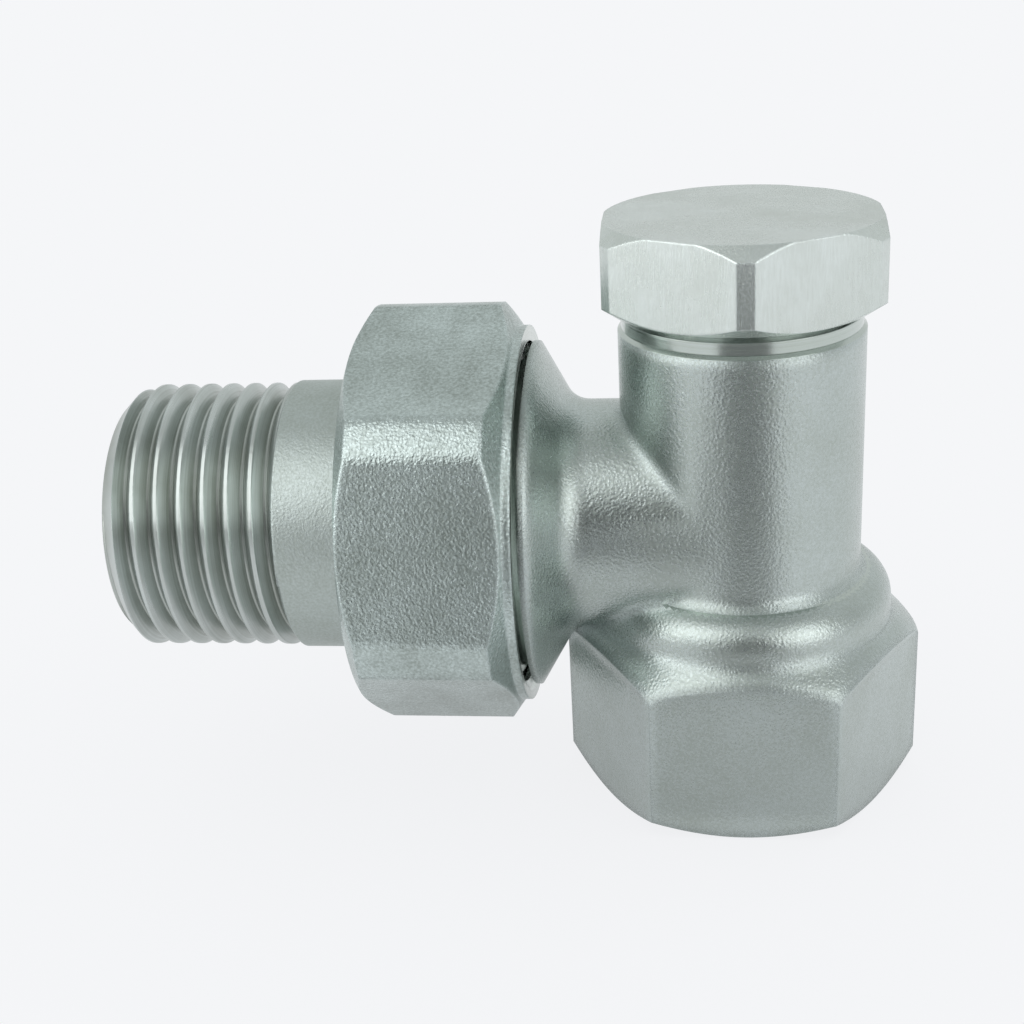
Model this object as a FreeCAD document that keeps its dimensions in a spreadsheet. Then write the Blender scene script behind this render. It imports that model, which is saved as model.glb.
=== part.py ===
"""Angle lockshield radiator valve: the part's own source.

Millimetres, +Z up. The origin is the centre of the inlet hexagon's lower face, on the axis of the neck.
The radiator tail points to -X. The spindle is shut, the cap and the union nut are tight.
"""
import FreeCAD, Part
import math
import os
import re
import Sketcher
from FreeCAD import Placement, Rotation, Vector

doc = FreeCAD.newDocument("LockshieldValve")

# Driving sizes: alias, number, what it is.
SIZES = [
    ("hex_flats", "24", "body hexagon across its flats"),
    ("hex_corner_trim", "0.05", "how much the hexagon's corners are turned off, on the diameter"),
    ("hex_height", "11.8", "height of the flats, up to the ramp under the shoulder"),
    ("hex_ramp_angle", "63", "slope of the ramp at the top of each flat, degrees"),
    ("hex_foot_margin", "0.25", "how far the hexagon's lower face stays inside a flat"),
    ("hex_chamfer_angle", "32", "slope of the turned cone at the hexagon's lower end, degrees"),
    ("shoulder_height", "14.2", "height of the crease between shoulder and collar"),
    ("shoulder_angle", "44", "slope of the round shoulder, degrees"),
    ("shoulder_round", "1.4", "radius where the shoulder turns down"),
    ("collar_step", "2.4", "how far the domed collar stands out from the neck"),
    ("collar_land", "1.2", "upright part of the collar below its dome"),
    ("dome_radius", "2.35", "radius of the collar's dome"),
    ("dome_fillet", "0.8", "fillet between dome and neck"),
    ("neck_bore", "16", "threaded bore of the neck"),
    ("neck_wall", "1.15", "wall of the neck around that bore"),
    ("neck_edge", "0.3", "chamfer on the neck's rim"),
    ("branch_height", "22", "height of the branch's axis"),
    ("branch_bore", "11.6", "waterway in the branch"),
    ("branch_wall", "3.05", "wall of the branch around its waterway"),
    ("branch_fillet", "2", "hollow radius from the branch to its flare"),
    ("flare_angle", "60", "slope of the flare behind the flange, degrees from the axis"),
    ("flange_face", "15.8", "distance from the neck's axis to the flange's face"),
    ("flange_rim", "0.35", "width of the flange's round rim"),
    ("flange_step", "0.25", "how far the flange stands out from the nose's thread"),
    ("relief_width", "1.3", "width of the thread's relief groove behind the flange"),
    ("relief_depth", "1.2", "depth of that groove"),
    ("nose_chamfer", "0.8", "chamfer at the nose's end"),
    ("inlet_bore", "18.7", "bore of the female pipe thread in the hexagon"),
    ("inlet_lead", "0.45", "chamfer at the inlet's mouth"),
    ("seat_margin", "0.2", "how far the seat lies below the waterway of the branch"),
    ("seat_web", "4", "web between the inlet's floor and the seat"),
    ("seat_rise", "0.8", "how far the seat stands up from the chamber's floor"),
    ("seat_land", "1", "width of the flat land on the seat"),
    ("seat_cover", "1.4", "how far the disc reaches beyond the seat's bore"),
    ("chamber_step", "1.1", "width of the step in the neck that carries the sealing washer"),
    ("step_above_bore", "1.5", "height of that step above the branch's waterway"),
    ("disc_room", "0.7", "gap around the disc in the chamber"),
    ("running_gap", "0.05", "radial clearance of each thread and running fit"),
    ("face_gap", "0.05", "gap between faces that are drawn together by a thread"),
    ("seal_gap", "0.02", "gap around each O-ring in its groove"),
    ("bonnet_washer_height", "0.8", "height of the washer under the bonnet"),
    ("bonnet_washer_room", "0.1", "gap beside the washer's rim and its bore"),
    ("bonnet_thread_length", "7.1", "length of the bonnet's thread in the neck"),
    ("bonnet_flange_height", "0.9", "height of the bonnet's flange on the neck's rim"),
    ("bonnet_flange_step", "0.95", "how far that flange stands out from the thread"),
    ("bonnet_skirt", "1.3", "how far the bonnet reaches down below the step"),
    ("bonnet_skirt_room", "0.1", "gap around that skirt"),
    ("bonnet_top_step", "0.35", "how much slimmer the cap's thread is than the bonnet's"),
    ("bonnet_top_chamfer", "0.4", "chamfer on the bonnet's upper end"),
    ("bonnet_inner_thread", "6.6", "length of the spindle's thread in the bonnet"),
    ("bonnet_slot_width", "2.2", "width of the key slot across the bonnet's upper end"),
    ("bonnet_slot_depth", "0.9", "depth of that slot"),
    ("stem_diameter", "8.8", "spindle where it runs in the bonnet's guide bore"),
    ("stem_thread_step", "0.6", "how far the spindle's thread stands out from the stem"),
    ("stem_neck_step", "0.8", "how much slimmer the spindle is below its thread"),
    ("stem_edge", "0.4", "chamfer on the spindle's head and disc"),
    ("spindle_lift", "3", "how far the spindle rises from shut to open"),
    ("thread_margin", "0.6", "spindle thread that stays below the bonnet when open"),
    ("lift_margin", "0.1", "gap left above the spindle when open"),
    ("seal_section", "1.2", "section of the spindle's O-rings"),
    ("seal_groove_play", "0.5", "how much wider a groove is than its O-ring"),
    ("seal_groove_start", "0.5", "height of the lower groove above the guide bore's start"),
    ("seal_groove_wall", "0.8", "wall between the two grooves"),
    ("spindle_head", "1", "spindle above its upper groove"),
    ("key_flats", "4", "key socket in the spindle across its flats"),
    ("key_depth", "3.4", "depth of that socket"),
    ("disc_height", "2", "thickness of the spindle's disc"),
    ("seat_washer_height", "1.6", "thickness of the rubber washer"),
    ("seat_washer_step", "0.2", "how far the washer stays inside the disc's rim"),
    ("plate_height", "0.6", "thickness of the plate below the washer"),
    ("plate_room", "1.2", "gap around that plate in the seat's bore"),
    ("screw_diameter", "3", "screw that clamps the washer"),
    ("screw_depth", "5", "length of that screw in the spindle"),
    ("screw_hole_spare", "1", "hole left above the screw"),
    ("screw_head_step", "1.1", "how far the screw's head stands out from its shank"),
    ("screw_head_height", "1.3", "height of that head"),
    ("screw_slot_width", "0.7", "width of its slot"),
    ("screw_slot_depth", "0.7", "depth of its slot"),
    ("cap_gap", "0.7", "gap seen between the cap and the bonnet's flange"),
    ("cap_side", "2.4", "wall of the cap from its thread to a flat"),
    ("cap_roof", "1.15", "thickness of the cap's top"),
    ("cap_corner_trim", "0.7", "how much the cap's corners are turned off, on the diameter"),
    ("cap_top_margin", "0.14", "how far the cap's top face reaches beyond a flat"),
    ("cap_top_angle", "43", "slope of the turned cone on the cap's top, degrees"),
    ("cap_foot_margin", "0.05", "how far the cap's lower face stays inside a flat"),
    ("cap_foot_angle", "35", "slope of the turned cone under the cap, degrees"),
    ("cap_rest_turn", "30.6", "how far the cap is turned when tight, degrees"),
    ("cap_gasket_height", "0.6", "thickness of the gasket in the cap"),
    ("cap_gasket_room", "0.2", "gap around that gasket"),
    ("tail_thread", "20.92", "outside of the tail's pipe thread"),
    ("tail_wall", "3.56", "wall of the tail from that thread to its bore"),
    ("tail_reach", "48", "distance from the neck's axis to the tail's end"),
    ("tail_thread_length", "13.4", "length of that thread with its chamfer"),
    ("tail_end_chamfer", "1.3", "chamfer at the tail's end"),
    ("shank_step", "0.17", "how far the plain shank stands out from the thread"),
    ("tail_collar_step", "1.6", "how far the tail's collar stands out from its thread"),
    ("tail_collar_room", "1.14", "gap between that collar and the nut's thread"),
    ("tail_collar_width", "2.4", "thickness of that collar"),
    ("spigot_wall", "2", "wall of the tail's sealing spigot"),
    ("spigot_length", "4.2", "length of that spigot"),
    ("spigot_edge", "0.4", "chamfer at the spigot's end and the nose's mouth"),
    ("spigot_room", "0.3", "gap in front of the spigot"),
    ("tail_seal_section", "1.3", "section of the O-ring on the spigot"),
    ("tail_socket_step", "0.5", "how much wider the key socket is than the tail's bore"),
    ("tail_socket_depth", "9", "depth of that socket"),
    ("nut_gap", "0.4", "gap seen between the nut and the flange"),
    ("nut_length", "12.6", "length of the union nut"),
    ("nut_wall", "1.8", "wall of the nut from its thread to a flat"),
    ("nut_lip", "2.5", "thickness of the lip behind the tail's collar"),
    ("nut_lip_room", "0.12", "gap between that lip and the shank"),
    ("nut_corner_trim", "1.7", "how much the nut's corners are turned off, on the diameter"),
    ("nut_rim", "1.45", "ring of the nut's end face around its thread"),
    ("nut_rim_width", "0.6", "width of the round band at that end"),
    ("nut_inner_angle", "35", "slope of the turned cone on the body side, degrees"),
    ("nut_face_trim", "0.1", "how far the nut's outer face stays inside a flat"),
    ("nut_outer_angle", "33", "slope of the turned cone on the tail side, degrees"),
    ("nut_rest_turn", "10.8", "how far the nut is turned when tight, degrees"),
]

# Places and radii that follow from the driving sizes, so that pieces that meet share one value.
LEVELS = [
    ("neck_radius", "Sizes.neck_bore / 2 + Sizes.neck_wall"),
    ("hex_radius", "(Sizes.hex_flats / cos(30) - Sizes.hex_corner_trim) / 2"),
    ("collar_radius", "neck_radius + Sizes.collar_step"),
    ("shoulder_corner", "Sizes.shoulder_height - (hex_radius - collar_radius) * tan(Sizes.shoulder_angle)"),
    ("shoulder_turn", "90 - Sizes.shoulder_angle"),
    ("shoulder_start", "shoulder_corner - Sizes.shoulder_round * tan(shoulder_turn / 2)"),
    ("shoulder_centre", "hex_radius - Sizes.shoulder_round"),
    ("dome_centre", "Sizes.shoulder_height + Sizes.collar_land"),
    ("hollow_reach", "Sizes.dome_radius + Sizes.dome_fillet"),
    ("hollow_run", "hollow_reach - Sizes.collar_step"),
    ("hollow_rise", "sqrt(hollow_reach ^ 2 - hollow_run ^ 2)"),
    ("dome_share", "Sizes.dome_radius / hollow_reach"),
    ("branch_radius", "Sizes.branch_bore / 2 + Sizes.branch_wall"),
    ("chamber_radius", "Sizes.neck_bore / 2 - Sizes.chamber_step"),
    ("disc_radius", "chamber_radius - Sizes.disc_room"),
    ("seat_radius", "disc_radius - Sizes.seat_cover"),
    ("seat_level", "Sizes.branch_height - Sizes.branch_bore / 2 - Sizes.seat_margin"),
    ("inlet_floor", "seat_level - Sizes.seat_web"),
    ("step_level", "Sizes.branch_height + Sizes.branch_bore / 2 + Sizes.step_above_bore"),
    ("bonnet_end", "step_level + Sizes.bonnet_washer_height"),
    ("neck_top", "bonnet_end + Sizes.bonnet_thread_length"),
    ("bonnet_radius", "Sizes.neck_bore / 2 - Sizes.running_gap"),
    ("bonnet_foot", "step_level - Sizes.bonnet_skirt"),
    ("guide_start", "bonnet_foot + Sizes.bonnet_inner_thread"),
    ("flange_top", "neck_top + Sizes.bonnet_flange_height"),
    ("cap_thread_radius", "bonnet_radius - Sizes.bonnet_top_step"),
    ("stem_radius", "Sizes.stem_diameter / 2"),
    ("stem_thread_radius", "stem_radius + Sizes.stem_thread_step"),
    ("guide_radius", "stem_radius + Sizes.running_gap"),
    ("groove_width", "Sizes.seal_section + Sizes.seal_groove_play"),
    ("lower_groove", "guide_start + Sizes.seal_groove_start"),
    ("upper_groove", "lower_groove + groove_width + Sizes.seal_groove_wall"),
    ("spindle_top", "upper_groove + groove_width + Sizes.spindle_head"),
    ("bonnet_top", "spindle_top + Sizes.spindle_lift + Sizes.lift_margin"),
    ("seal_ring_radius", "guide_radius - Sizes.seal_gap - Sizes.seal_section / 2"),
    ("groove_floor", "seal_ring_radius - Sizes.seal_section / 2 - Sizes.seal_gap"),
    ("washer_foot", "seat_level + Sizes.face_gap"),
    ("disc_foot", "washer_foot + Sizes.seat_washer_height"),
    ("disc_top", "disc_foot + Sizes.disc_height"),
    ("stem_thread_foot", "bonnet_foot - Sizes.spindle_lift - Sizes.thread_margin"),
    ("stem_thread_top", "guide_start - Sizes.spindle_lift - Sizes.lift_margin"),
    ("plate_foot", "washer_foot - Sizes.plate_height"),
    ("screw_radius", "Sizes.screw_diameter / 2"),
    ("screw_top", "disc_foot + Sizes.screw_depth"),
    ("cap_ceiling", "bonnet_top + 2 * Sizes.face_gap + Sizes.cap_gasket_height"),
    ("cap_foot", "flange_top + Sizes.cap_gap"),
    ("cap_top", "cap_ceiling + Sizes.cap_roof"),
    ("cap_bore_radius", "cap_thread_radius + Sizes.running_gap"),
    ("cap_flat", "cap_thread_radius + Sizes.cap_side"),
    ("cap_radius", "cap_flat / cos(30) - Sizes.cap_corner_trim / 2"),
    ("tail_radius", "Sizes.tail_thread / 2"),
    ("tail_bore_radius", "tail_radius - Sizes.tail_wall"),
    ("shank_radius", "tail_radius + Sizes.shank_step"),
    ("tail_collar_radius", "tail_radius + Sizes.tail_collar_step"),
    ("nose_radius", "tail_collar_radius + Sizes.tail_collar_room"),
    ("flange_radius", "nose_radius + Sizes.flange_step"),
    ("flare_foot", "Sizes.flange_face - Sizes.flange_rim"),
    ("flare_arc_rise", "Sizes.branch_fillet * (1 - cos(Sizes.flare_angle))"),
    ("flare_arc_run", "Sizes.branch_fillet * sin(Sizes.flare_angle)"),
    ("flare_run", "(flange_radius - branch_radius - flare_arc_rise) / tan(Sizes.flare_angle)"),
    ("flare_arc_end", "flare_foot - flare_run"),
    ("nut_start", "Sizes.flange_face + Sizes.nut_gap"),
    ("nut_end", "nut_start + Sizes.nut_length"),
    ("lip_face", "nut_end - Sizes.nut_lip"),
    ("tail_collar_back", "lip_face - Sizes.face_gap"),
    ("tail_collar_front", "tail_collar_back - Sizes.tail_collar_width"),
    ("nose_end", "tail_collar_front - Sizes.face_gap"),
    ("nut_bore_radius", "nose_radius + Sizes.running_gap"),
    ("nut_flat", "nose_radius + Sizes.nut_wall"),
    ("nut_radius", "nut_flat / cos(30) - Sizes.nut_corner_trim / 2"),
    ("nut_face_radius", "nut_flat - Sizes.nut_face_trim"),
    ("nut_rim_radius", "nose_radius + Sizes.nut_rim"),
    ("lip_radius", "shank_radius + Sizes.nut_lip_room"),
    ("spigot_radius", "tail_bore_radius + Sizes.spigot_wall"),
    ("spigot_end", "tail_collar_front - Sizes.spigot_length"),
    ("mouth_radius", "spigot_radius + Sizes.running_gap"),
    ("mouth_floor", "spigot_end - Sizes.spigot_room"),
    ("tail_groove_width", "Sizes.tail_seal_section + Sizes.seal_groove_play"),
    ("tail_groove", "(spigot_end + tail_collar_front - tail_groove_width) / 2"),
    ("tail_seal_radius", "mouth_radius - Sizes.seal_gap - Sizes.tail_seal_section / 2"),
    ("tail_groove_floor", "tail_seal_radius - Sizes.tail_seal_section / 2 - Sizes.seal_gap"),
    ("tail_thread_start", "Sizes.tail_reach - Sizes.tail_thread_length"),
]


def fill_sheet(name, rows):
    """A sheet with one named cell for each row."""
    table = doc.addObject("Spreadsheet::Sheet", name)
    for number, row in enumerate(rows, start=1):
        alias = row[0]
        text = row[1]
        table.set(f"A{number}", row[-1] if len(row) == 3 else alias)
        table.set(f"B{number}", text if len(row) == 3 else "=" + text)
        table.setAlias(f"B{number}", alias)
    doc.recompute()
    return table


sizes = fill_sheet("Sizes", SIZES)
levels = fill_sheet("Levels", LEVELS)
OWNER = {row[0]: "Sizes" for row in SIZES}
OWNER.update({row[0]: "Levels" for row in LEVELS})


def bound(text):
    """An expression in which each named size points to its cell."""
    def cell(found):
        word = found[0]
        return f"{OWNER[word]}.{word}" if word in OWNER else word

    return re.sub(r"[a-z_]+", cell, text)


def number(text):
    """The present value of an expression."""
    return float(sizes.evalExpression(bound(text)))


def origin_part(body, role):
    return next(item for item in body.Origin.OriginFeatures if item.Role == role)


def new_body(label):
    body = doc.addObject("PartDesign::Body", label)
    body.Label = label
    return body


def new_sketch(body, name, role):
    sketch = body.newObject("Sketcher::SketchObject", name)
    sketch.AttachmentSupport = (origin_part(body, role), [""])
    sketch.MapMode = "FlatFace"
    return sketch


def arc_between(start, end, radius, side):
    """The minor arc from start to end, its centre on the given side of the way, always run leftward."""
    half = (end - start) * 0.5
    across = Vector(-half.y, half.x, 0).normalize()
    rise = math.sqrt(max(radius ** 2 - half.Length ** 2, 0))
    centre = start + half + across * (rise if side == "left" else -rise)
    ends = (start, end) if side == "left" else (end, start)
    angles = [math.atan2(point.y - centre.y, point.x - centre.x) for point in ends]
    return Part.ArcOfCircle(Part.Circle(centre, Vector(0, 0, 1), radius), angles[0], angles[1])


def draw(sketch, corners):
    """A closed outline. Each corner is (x, y) or (x, y, radius, side of the centre) for an arc to the next."""
    points = [Vector(number(corner[0]), number(corner[1]), 0) for corner in corners]
    count = len(corners)
    for place, corner in enumerate(corners):
        start = points[place]
        end = points[(place + 1) % count]
        if len(corner) == 4:
            sketch.addGeometry(arc_between(start, end, number(corner[2]), corner[3]), False)
        else:
            sketch.addGeometry(Part.LineSegment(start, end), False)
    turned = [len(corner) == 4 and corner[3] == "right" for corner in corners]
    starts = [2 if back else 1 for back in turned]
    ends = [1 if back else 2 for back in turned]
    for place in range(count):
        follower = (place + 1) % count
        rule = Sketcher.Constraint("Coincident", place, ends[place], follower, starts[follower])
        sketch.addConstraint(rule)
    for place, corner in enumerate(corners):
        for kind, axis, text in (("DistanceX", -2, corner[0]), ("DistanceY", -1, corner[1])):
            if text == "0":
                sketch.addConstraint(Sketcher.Constraint("PointOnObject", place, starts[place], axis))
                continue
            rule = Sketcher.Constraint(kind, -1, 1, place, starts[place], number(text))
            index = sketch.addConstraint(rule)
            sketch.setExpression(f"Constraints[{index}]", bound(text))
        if len(corner) == 4:
            index = sketch.addConstraint(Sketcher.Constraint("Radius", place, number(corner[2])))
            sketch.setExpression(f"Constraints[{index}]", bound(corner[2]))
    doc.recompute()
    if sketch.solve() != 0 or not sketch.FullyConstrained:
        raise RuntimeError(f"{sketch.Name} is not fully held by its sizes")


def measured(body, feature, grows):
    """Recompute, and see that the feature really added or removed material."""
    before = body.Tip.Shape.Volume if body.Tip and body.Tip.Shape.Solids else 0.0
    body.Tip = feature
    doc.recompute()
    after = feature.Shape.Volume
    if grows and after <= before + 1e-6:
        raise RuntimeError(f"{feature.Name} added nothing")
    if not grows and after >= before - 1e-6:
        raise RuntimeError(f"{feature.Name} removed nothing")


def feature_on(body, kind, name, sketch):
    """A feature of a sketch, made without losing what the body's volume was before."""
    tip = body.Tip
    feature = body.newObject(kind, name)
    feature.Profile = sketch
    body.Tip = tip
    return feature


def turn(body, name, corners, role="XZ_Plane", axis="V_Axis", cut=False, lift=None, flip=False):
    """A turned solid or a turned cut from a half section."""
    sketch = new_sketch(body, name + "_section", role)
    if flip:
        sketch.AttachmentOffset = Placement(Vector(0, 0, 0), Rotation(Vector(0, 1, 0), 180))
    if lift:
        sketch.setExpression("AttachmentOffset.Base.y", bound(lift))
    draw(sketch, corners)
    feature = feature_on(body, "PartDesign::Groove" if cut else "PartDesign::Revolution", name, sketch)
    feature.ReferenceAxis = (sketch, [axis])
    feature.Angle = 360
    measured(body, feature, not cut)
    return feature


def slot(body, name, corners, role):
    """A cut with the given section, right through to both sides of its plane."""
    sketch = new_sketch(body, name + "_section", role)
    draw(sketch, corners)
    feature = feature_on(body, "PartDesign::Pocket", name, sketch)
    feature.Type = "ThroughAll"
    feature.SideType = "Symmetric"
    measured(body, feature, False)
    return feature


def six_flats(body, name, corners, rest_turn=None):
    """Six flats: one cut with the given section, repeated around Z."""
    sketch = new_sketch(body, name + "_section", "YZ_Plane")
    if rest_turn:
        sketch.AttachmentOffset = Placement(Vector(0, 0, 0), Rotation(Vector(0, 1, 0), number(rest_turn)))
        sketch.setExpression("AttachmentOffset.Rotation.Angle", bound(rest_turn))
    draw(sketch, corners)
    first = feature_on(body, "PartDesign::Pocket", name, sketch)
    first.Type = "ThroughAll"
    first.SideType = "Symmetric"
    measured(body, first, False)
    ring = body.newObject("PartDesign::PolarPattern", name + "_ring")
    ring.Originals = [first]
    ring.Axis = (origin_part(body, "Z_Axis"), [""])
    ring.Angle = 360
    ring.Occurrences = 6
    body.Tip = first
    measured(body, ring, False)
    return ring


def hexagon_socket(body, name, flats, level, depth):
    """A hexagonal socket that goes down from a level."""
    sketch = new_sketch(body, name + "_section", "XY_Plane")
    sketch.setExpression("AttachmentOffset.Base.z", bound(level))
    reach = f"( {flats} ) / 2 / cos(30)"
    corners = [(f"{reach} * cos({angle})", f"{reach} * sin({angle})") for angle in (30, 150, 210, 330)]
    corners.insert(1, ("0", reach))
    corners.insert(4, ("0", f"-1 * {reach}"))
    draw(sketch, corners)
    feature = feature_on(body, "PartDesign::Pocket", name, sketch)
    feature.setExpression("Length", bound(depth))
    measured(body, feature, False)
    return feature


def seal_ring(label, ring_radius, section, level):
    """An O-ring around Z."""
    ring = doc.addObject("Part::Torus", label)
    ring.Label = label
    ring.setExpression("Radius1", bound(ring_radius))
    ring.setExpression("Radius2", bound(f"{section} / 2"))
    ring.setExpression("Placement.Base.z", bound(level))
    return ring


def lay_on_branch(item, distance=None):
    """Turn a piece made around Z so that its Z runs out along the branch, to -X."""
    item.Placement = Placement(Vector(0, 0, number("branch_height")), Rotation(Vector(0, 1, 0), -90))
    item.setExpression("Placement.Base.z", bound("branch_height"))
    if distance:
        item.setExpression("Placement.Base.x", bound(f"-1 * ( {distance} )"))


# Forged body: hexagon blank, shoulder, domed collar and neck turned in one, then the six flats.
valve_body = new_body("valve_body")
turn(valve_body, "upright", [
    ("0", "0"),
    ("hex_flats / 2 - hex_foot_margin", "0"),
    ("hex_radius", "( hex_radius - hex_flats / 2 + hex_foot_margin ) * tan(hex_chamfer_angle)"),
    ("hex_radius", "shoulder_start", "shoulder_round", "left"),
    ("shoulder_centre + shoulder_round * cos(shoulder_turn)",
     "shoulder_start + shoulder_round * sin(shoulder_turn)"),
    ("collar_radius", "shoulder_height"),
    ("collar_radius", "dome_centre", "dome_radius", "left"),
    ("collar_radius - dome_radius + hollow_run * dome_share", "dome_centre + hollow_rise * dome_share",
     "dome_fillet", "right"),
    ("neck_radius", "dome_centre + hollow_rise"),
    ("neck_radius", "neck_top - neck_edge"),
    ("neck_radius - neck_edge", "neck_top"),
    ("0", "neck_top"),
])
six_flats(valve_body, "hexagon", [
    ("hex_flats / 2", "0"),
    ("hex_radius + 1", "0"),
    ("hex_radius + 1", "hex_height + ( hex_radius + 1 - hex_flats / 2 ) * tan(hex_ramp_angle)"),
    ("hex_flats / 2", "hex_height"),
])

# Side branch with its flare and flange, the relief groove and the union nose.
turn(valve_body, "branch", [
    ("0", "0"),
    ("nose_end", "0"),
    ("nose_end", "nose_radius - nose_chamfer"),
    ("nose_end - nose_chamfer", "nose_radius"),
    ("flange_face + relief_width", "nose_radius"),
    ("flange_face + relief_width", "nose_radius - relief_depth"),
    ("flange_face", "nose_radius - relief_depth"),
    ("flange_face", "flange_radius"),
    ("flare_foot", "flange_radius"),
    ("flare_arc_end", "branch_radius + flare_arc_rise", "branch_fillet", "right"),
    ("flare_arc_end - flare_arc_run", "branch_radius"),
    ("0", "branch_radius"),
], axis="H_Axis", lift="branch_height", flip=True)

# Inlet, seat, chamber and the neck's bore.
turn(valve_body, "upright_bore", [
    ("0", "0"),
    ("inlet_bore / 2 + inlet_lead", "0"),
    ("inlet_bore / 2", "inlet_lead"),
    ("inlet_bore / 2", "inlet_floor"),
    ("seat_radius", "inlet_floor"),
    ("seat_radius", "seat_level"),
    ("seat_radius + seat_land", "seat_level"),
    ("chamber_radius", "seat_level - seat_rise"),
    ("chamber_radius", "step_level"),
    ("neck_bore / 2", "step_level"),
    ("neck_bore / 2", "neck_top"),
    ("0", "neck_top"),
], cut=True)
turn(valve_body, "branch_bore_cut", [
    ("0", "0"),
    ("nose_end", "0"),
    ("nose_end", "mouth_radius + spigot_edge"),
    ("nose_end - spigot_edge", "mouth_radius"),
    ("mouth_floor", "mouth_radius"),
    ("mouth_floor", "branch_bore / 2"),
    ("0", "branch_bore / 2"),
], axis="H_Axis", cut=True, lift="branch_height", flip=True)

# Washer and bonnet in the neck.
bonnet_washer = new_body("bonnet_washer")
turn(bonnet_washer, "washer", [
    ("chamber_radius + bonnet_washer_room", "step_level"),
    ("neck_bore / 2 - bonnet_washer_room", "step_level"),
    ("neck_bore / 2 - bonnet_washer_room", "bonnet_end"),
    ("chamber_radius + bonnet_washer_room", "bonnet_end"),
])
bonnet = new_body("bonnet")
turn(bonnet, "insert", [
    ("stem_thread_radius + running_gap", "bonnet_foot"),
    ("chamber_radius - bonnet_skirt_room", "bonnet_foot"),
    ("chamber_radius - bonnet_skirt_room", "bonnet_end"),
    ("bonnet_radius", "bonnet_end"),
    ("bonnet_radius", "neck_top"),
    ("bonnet_radius + bonnet_flange_step", "neck_top"),
    ("bonnet_radius + bonnet_flange_step", "flange_top"),
    ("cap_thread_radius", "flange_top"),
    ("cap_thread_radius", "bonnet_top - bonnet_top_chamfer"),
    ("cap_thread_radius - bonnet_top_chamfer", "bonnet_top"),
    ("guide_radius", "bonnet_top"),
    ("guide_radius", "guide_start"),
    ("stem_thread_radius + running_gap", "guide_start"),
])
slot(bonnet, "key_slot", [
    ("bonnet_slot_width / 2", "bonnet_top - bonnet_slot_depth"),
    ("bonnet_slot_width / 2", "bonnet_top"),
    ("bonnet_slot_width / -2", "bonnet_top"),
    ("bonnet_slot_width / -2", "bonnet_top - bonnet_slot_depth"),
], "XZ_Plane")

# Spindle with its disc, seals, and the washer that closes on the seat.
spindle = new_body("spindle")
turn(spindle, "rod", [
    ("screw_radius + running_gap", "disc_foot"),
    ("disc_radius", "disc_foot"),
    ("disc_radius", "disc_top - stem_edge"),
    ("disc_radius - stem_edge", "disc_top"),
    ("stem_radius - stem_neck_step", "disc_top"),
    ("stem_radius - stem_neck_step", "stem_thread_foot"),
    ("stem_thread_radius", "stem_thread_foot + stem_edge"),
    ("stem_thread_radius", "stem_thread_top"),
    ("stem_radius", "stem_thread_top"),
    ("stem_radius", "lower_groove"),
    ("groove_floor", "lower_groove"),
    ("groove_floor", "lower_groove + groove_width"),
    ("stem_radius", "lower_groove + groove_width"),
    ("stem_radius", "upper_groove"),
    ("groove_floor", "upper_groove"),
    ("groove_floor", "upper_groove + groove_width"),
    ("stem_radius", "upper_groove + groove_width"),
    ("stem_radius", "spindle_top - stem_edge"),
    ("stem_radius - stem_edge", "spindle_top"),
    ("0", "spindle_top"),
    ("0", "screw_top + screw_hole_spare"),
    ("screw_radius + running_gap", "screw_top + screw_hole_spare"),
])
hexagon_socket(spindle, "key_socket", "key_flats", "spindle_top", "key_depth")
lower_seal = seal_ring("spindle_seal_lower", "seal_ring_radius", "seal_section",
                       "lower_groove + groove_width / 2")
upper_seal = seal_ring("spindle_seal_upper", "seal_ring_radius", "seal_section",
                       "upper_groove + groove_width / 2")
seat_washer = new_body("seat_washer")
turn(seat_washer, "rubber", [
    ("screw_radius + running_gap", "washer_foot"),
    ("disc_radius - seat_washer_step", "washer_foot"),
    ("disc_radius - seat_washer_step", "disc_foot"),
    ("screw_radius + running_gap", "disc_foot"),
])
washer_plate = new_body("washer_plate")
turn(washer_plate, "plate", [
    ("screw_radius + running_gap", "plate_foot"),
    ("seat_radius - plate_room - plate_height / 2", "plate_foot"),
    ("seat_radius - plate_room", "washer_foot - plate_height / 2"),
    ("seat_radius - plate_room", "washer_foot"),
    ("screw_radius + running_gap", "washer_foot"),
])
washer_screw = new_body("washer_screw")
turn(washer_screw, "screw", [
    ("0", "plate_foot - screw_head_height"),
    ("screw_radius + screw_head_step", "plate_foot - screw_head_height"),
    ("screw_radius + screw_head_step", "plate_foot"),
    ("screw_radius", "plate_foot"),
    ("screw_radius", "screw_top"),
    ("0", "screw_top"),
])
slot(washer_screw, "driver_slot", [
    ("screw_slot_width / 2", "plate_foot - screw_head_height"),
    ("screw_slot_width / 2", "plate_foot - screw_head_height + screw_slot_depth"),
    ("screw_slot_width / -2", "plate_foot - screw_head_height + screw_slot_depth"),
    ("screw_slot_width / -2", "plate_foot - screw_head_height"),
], "XZ_Plane")

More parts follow.
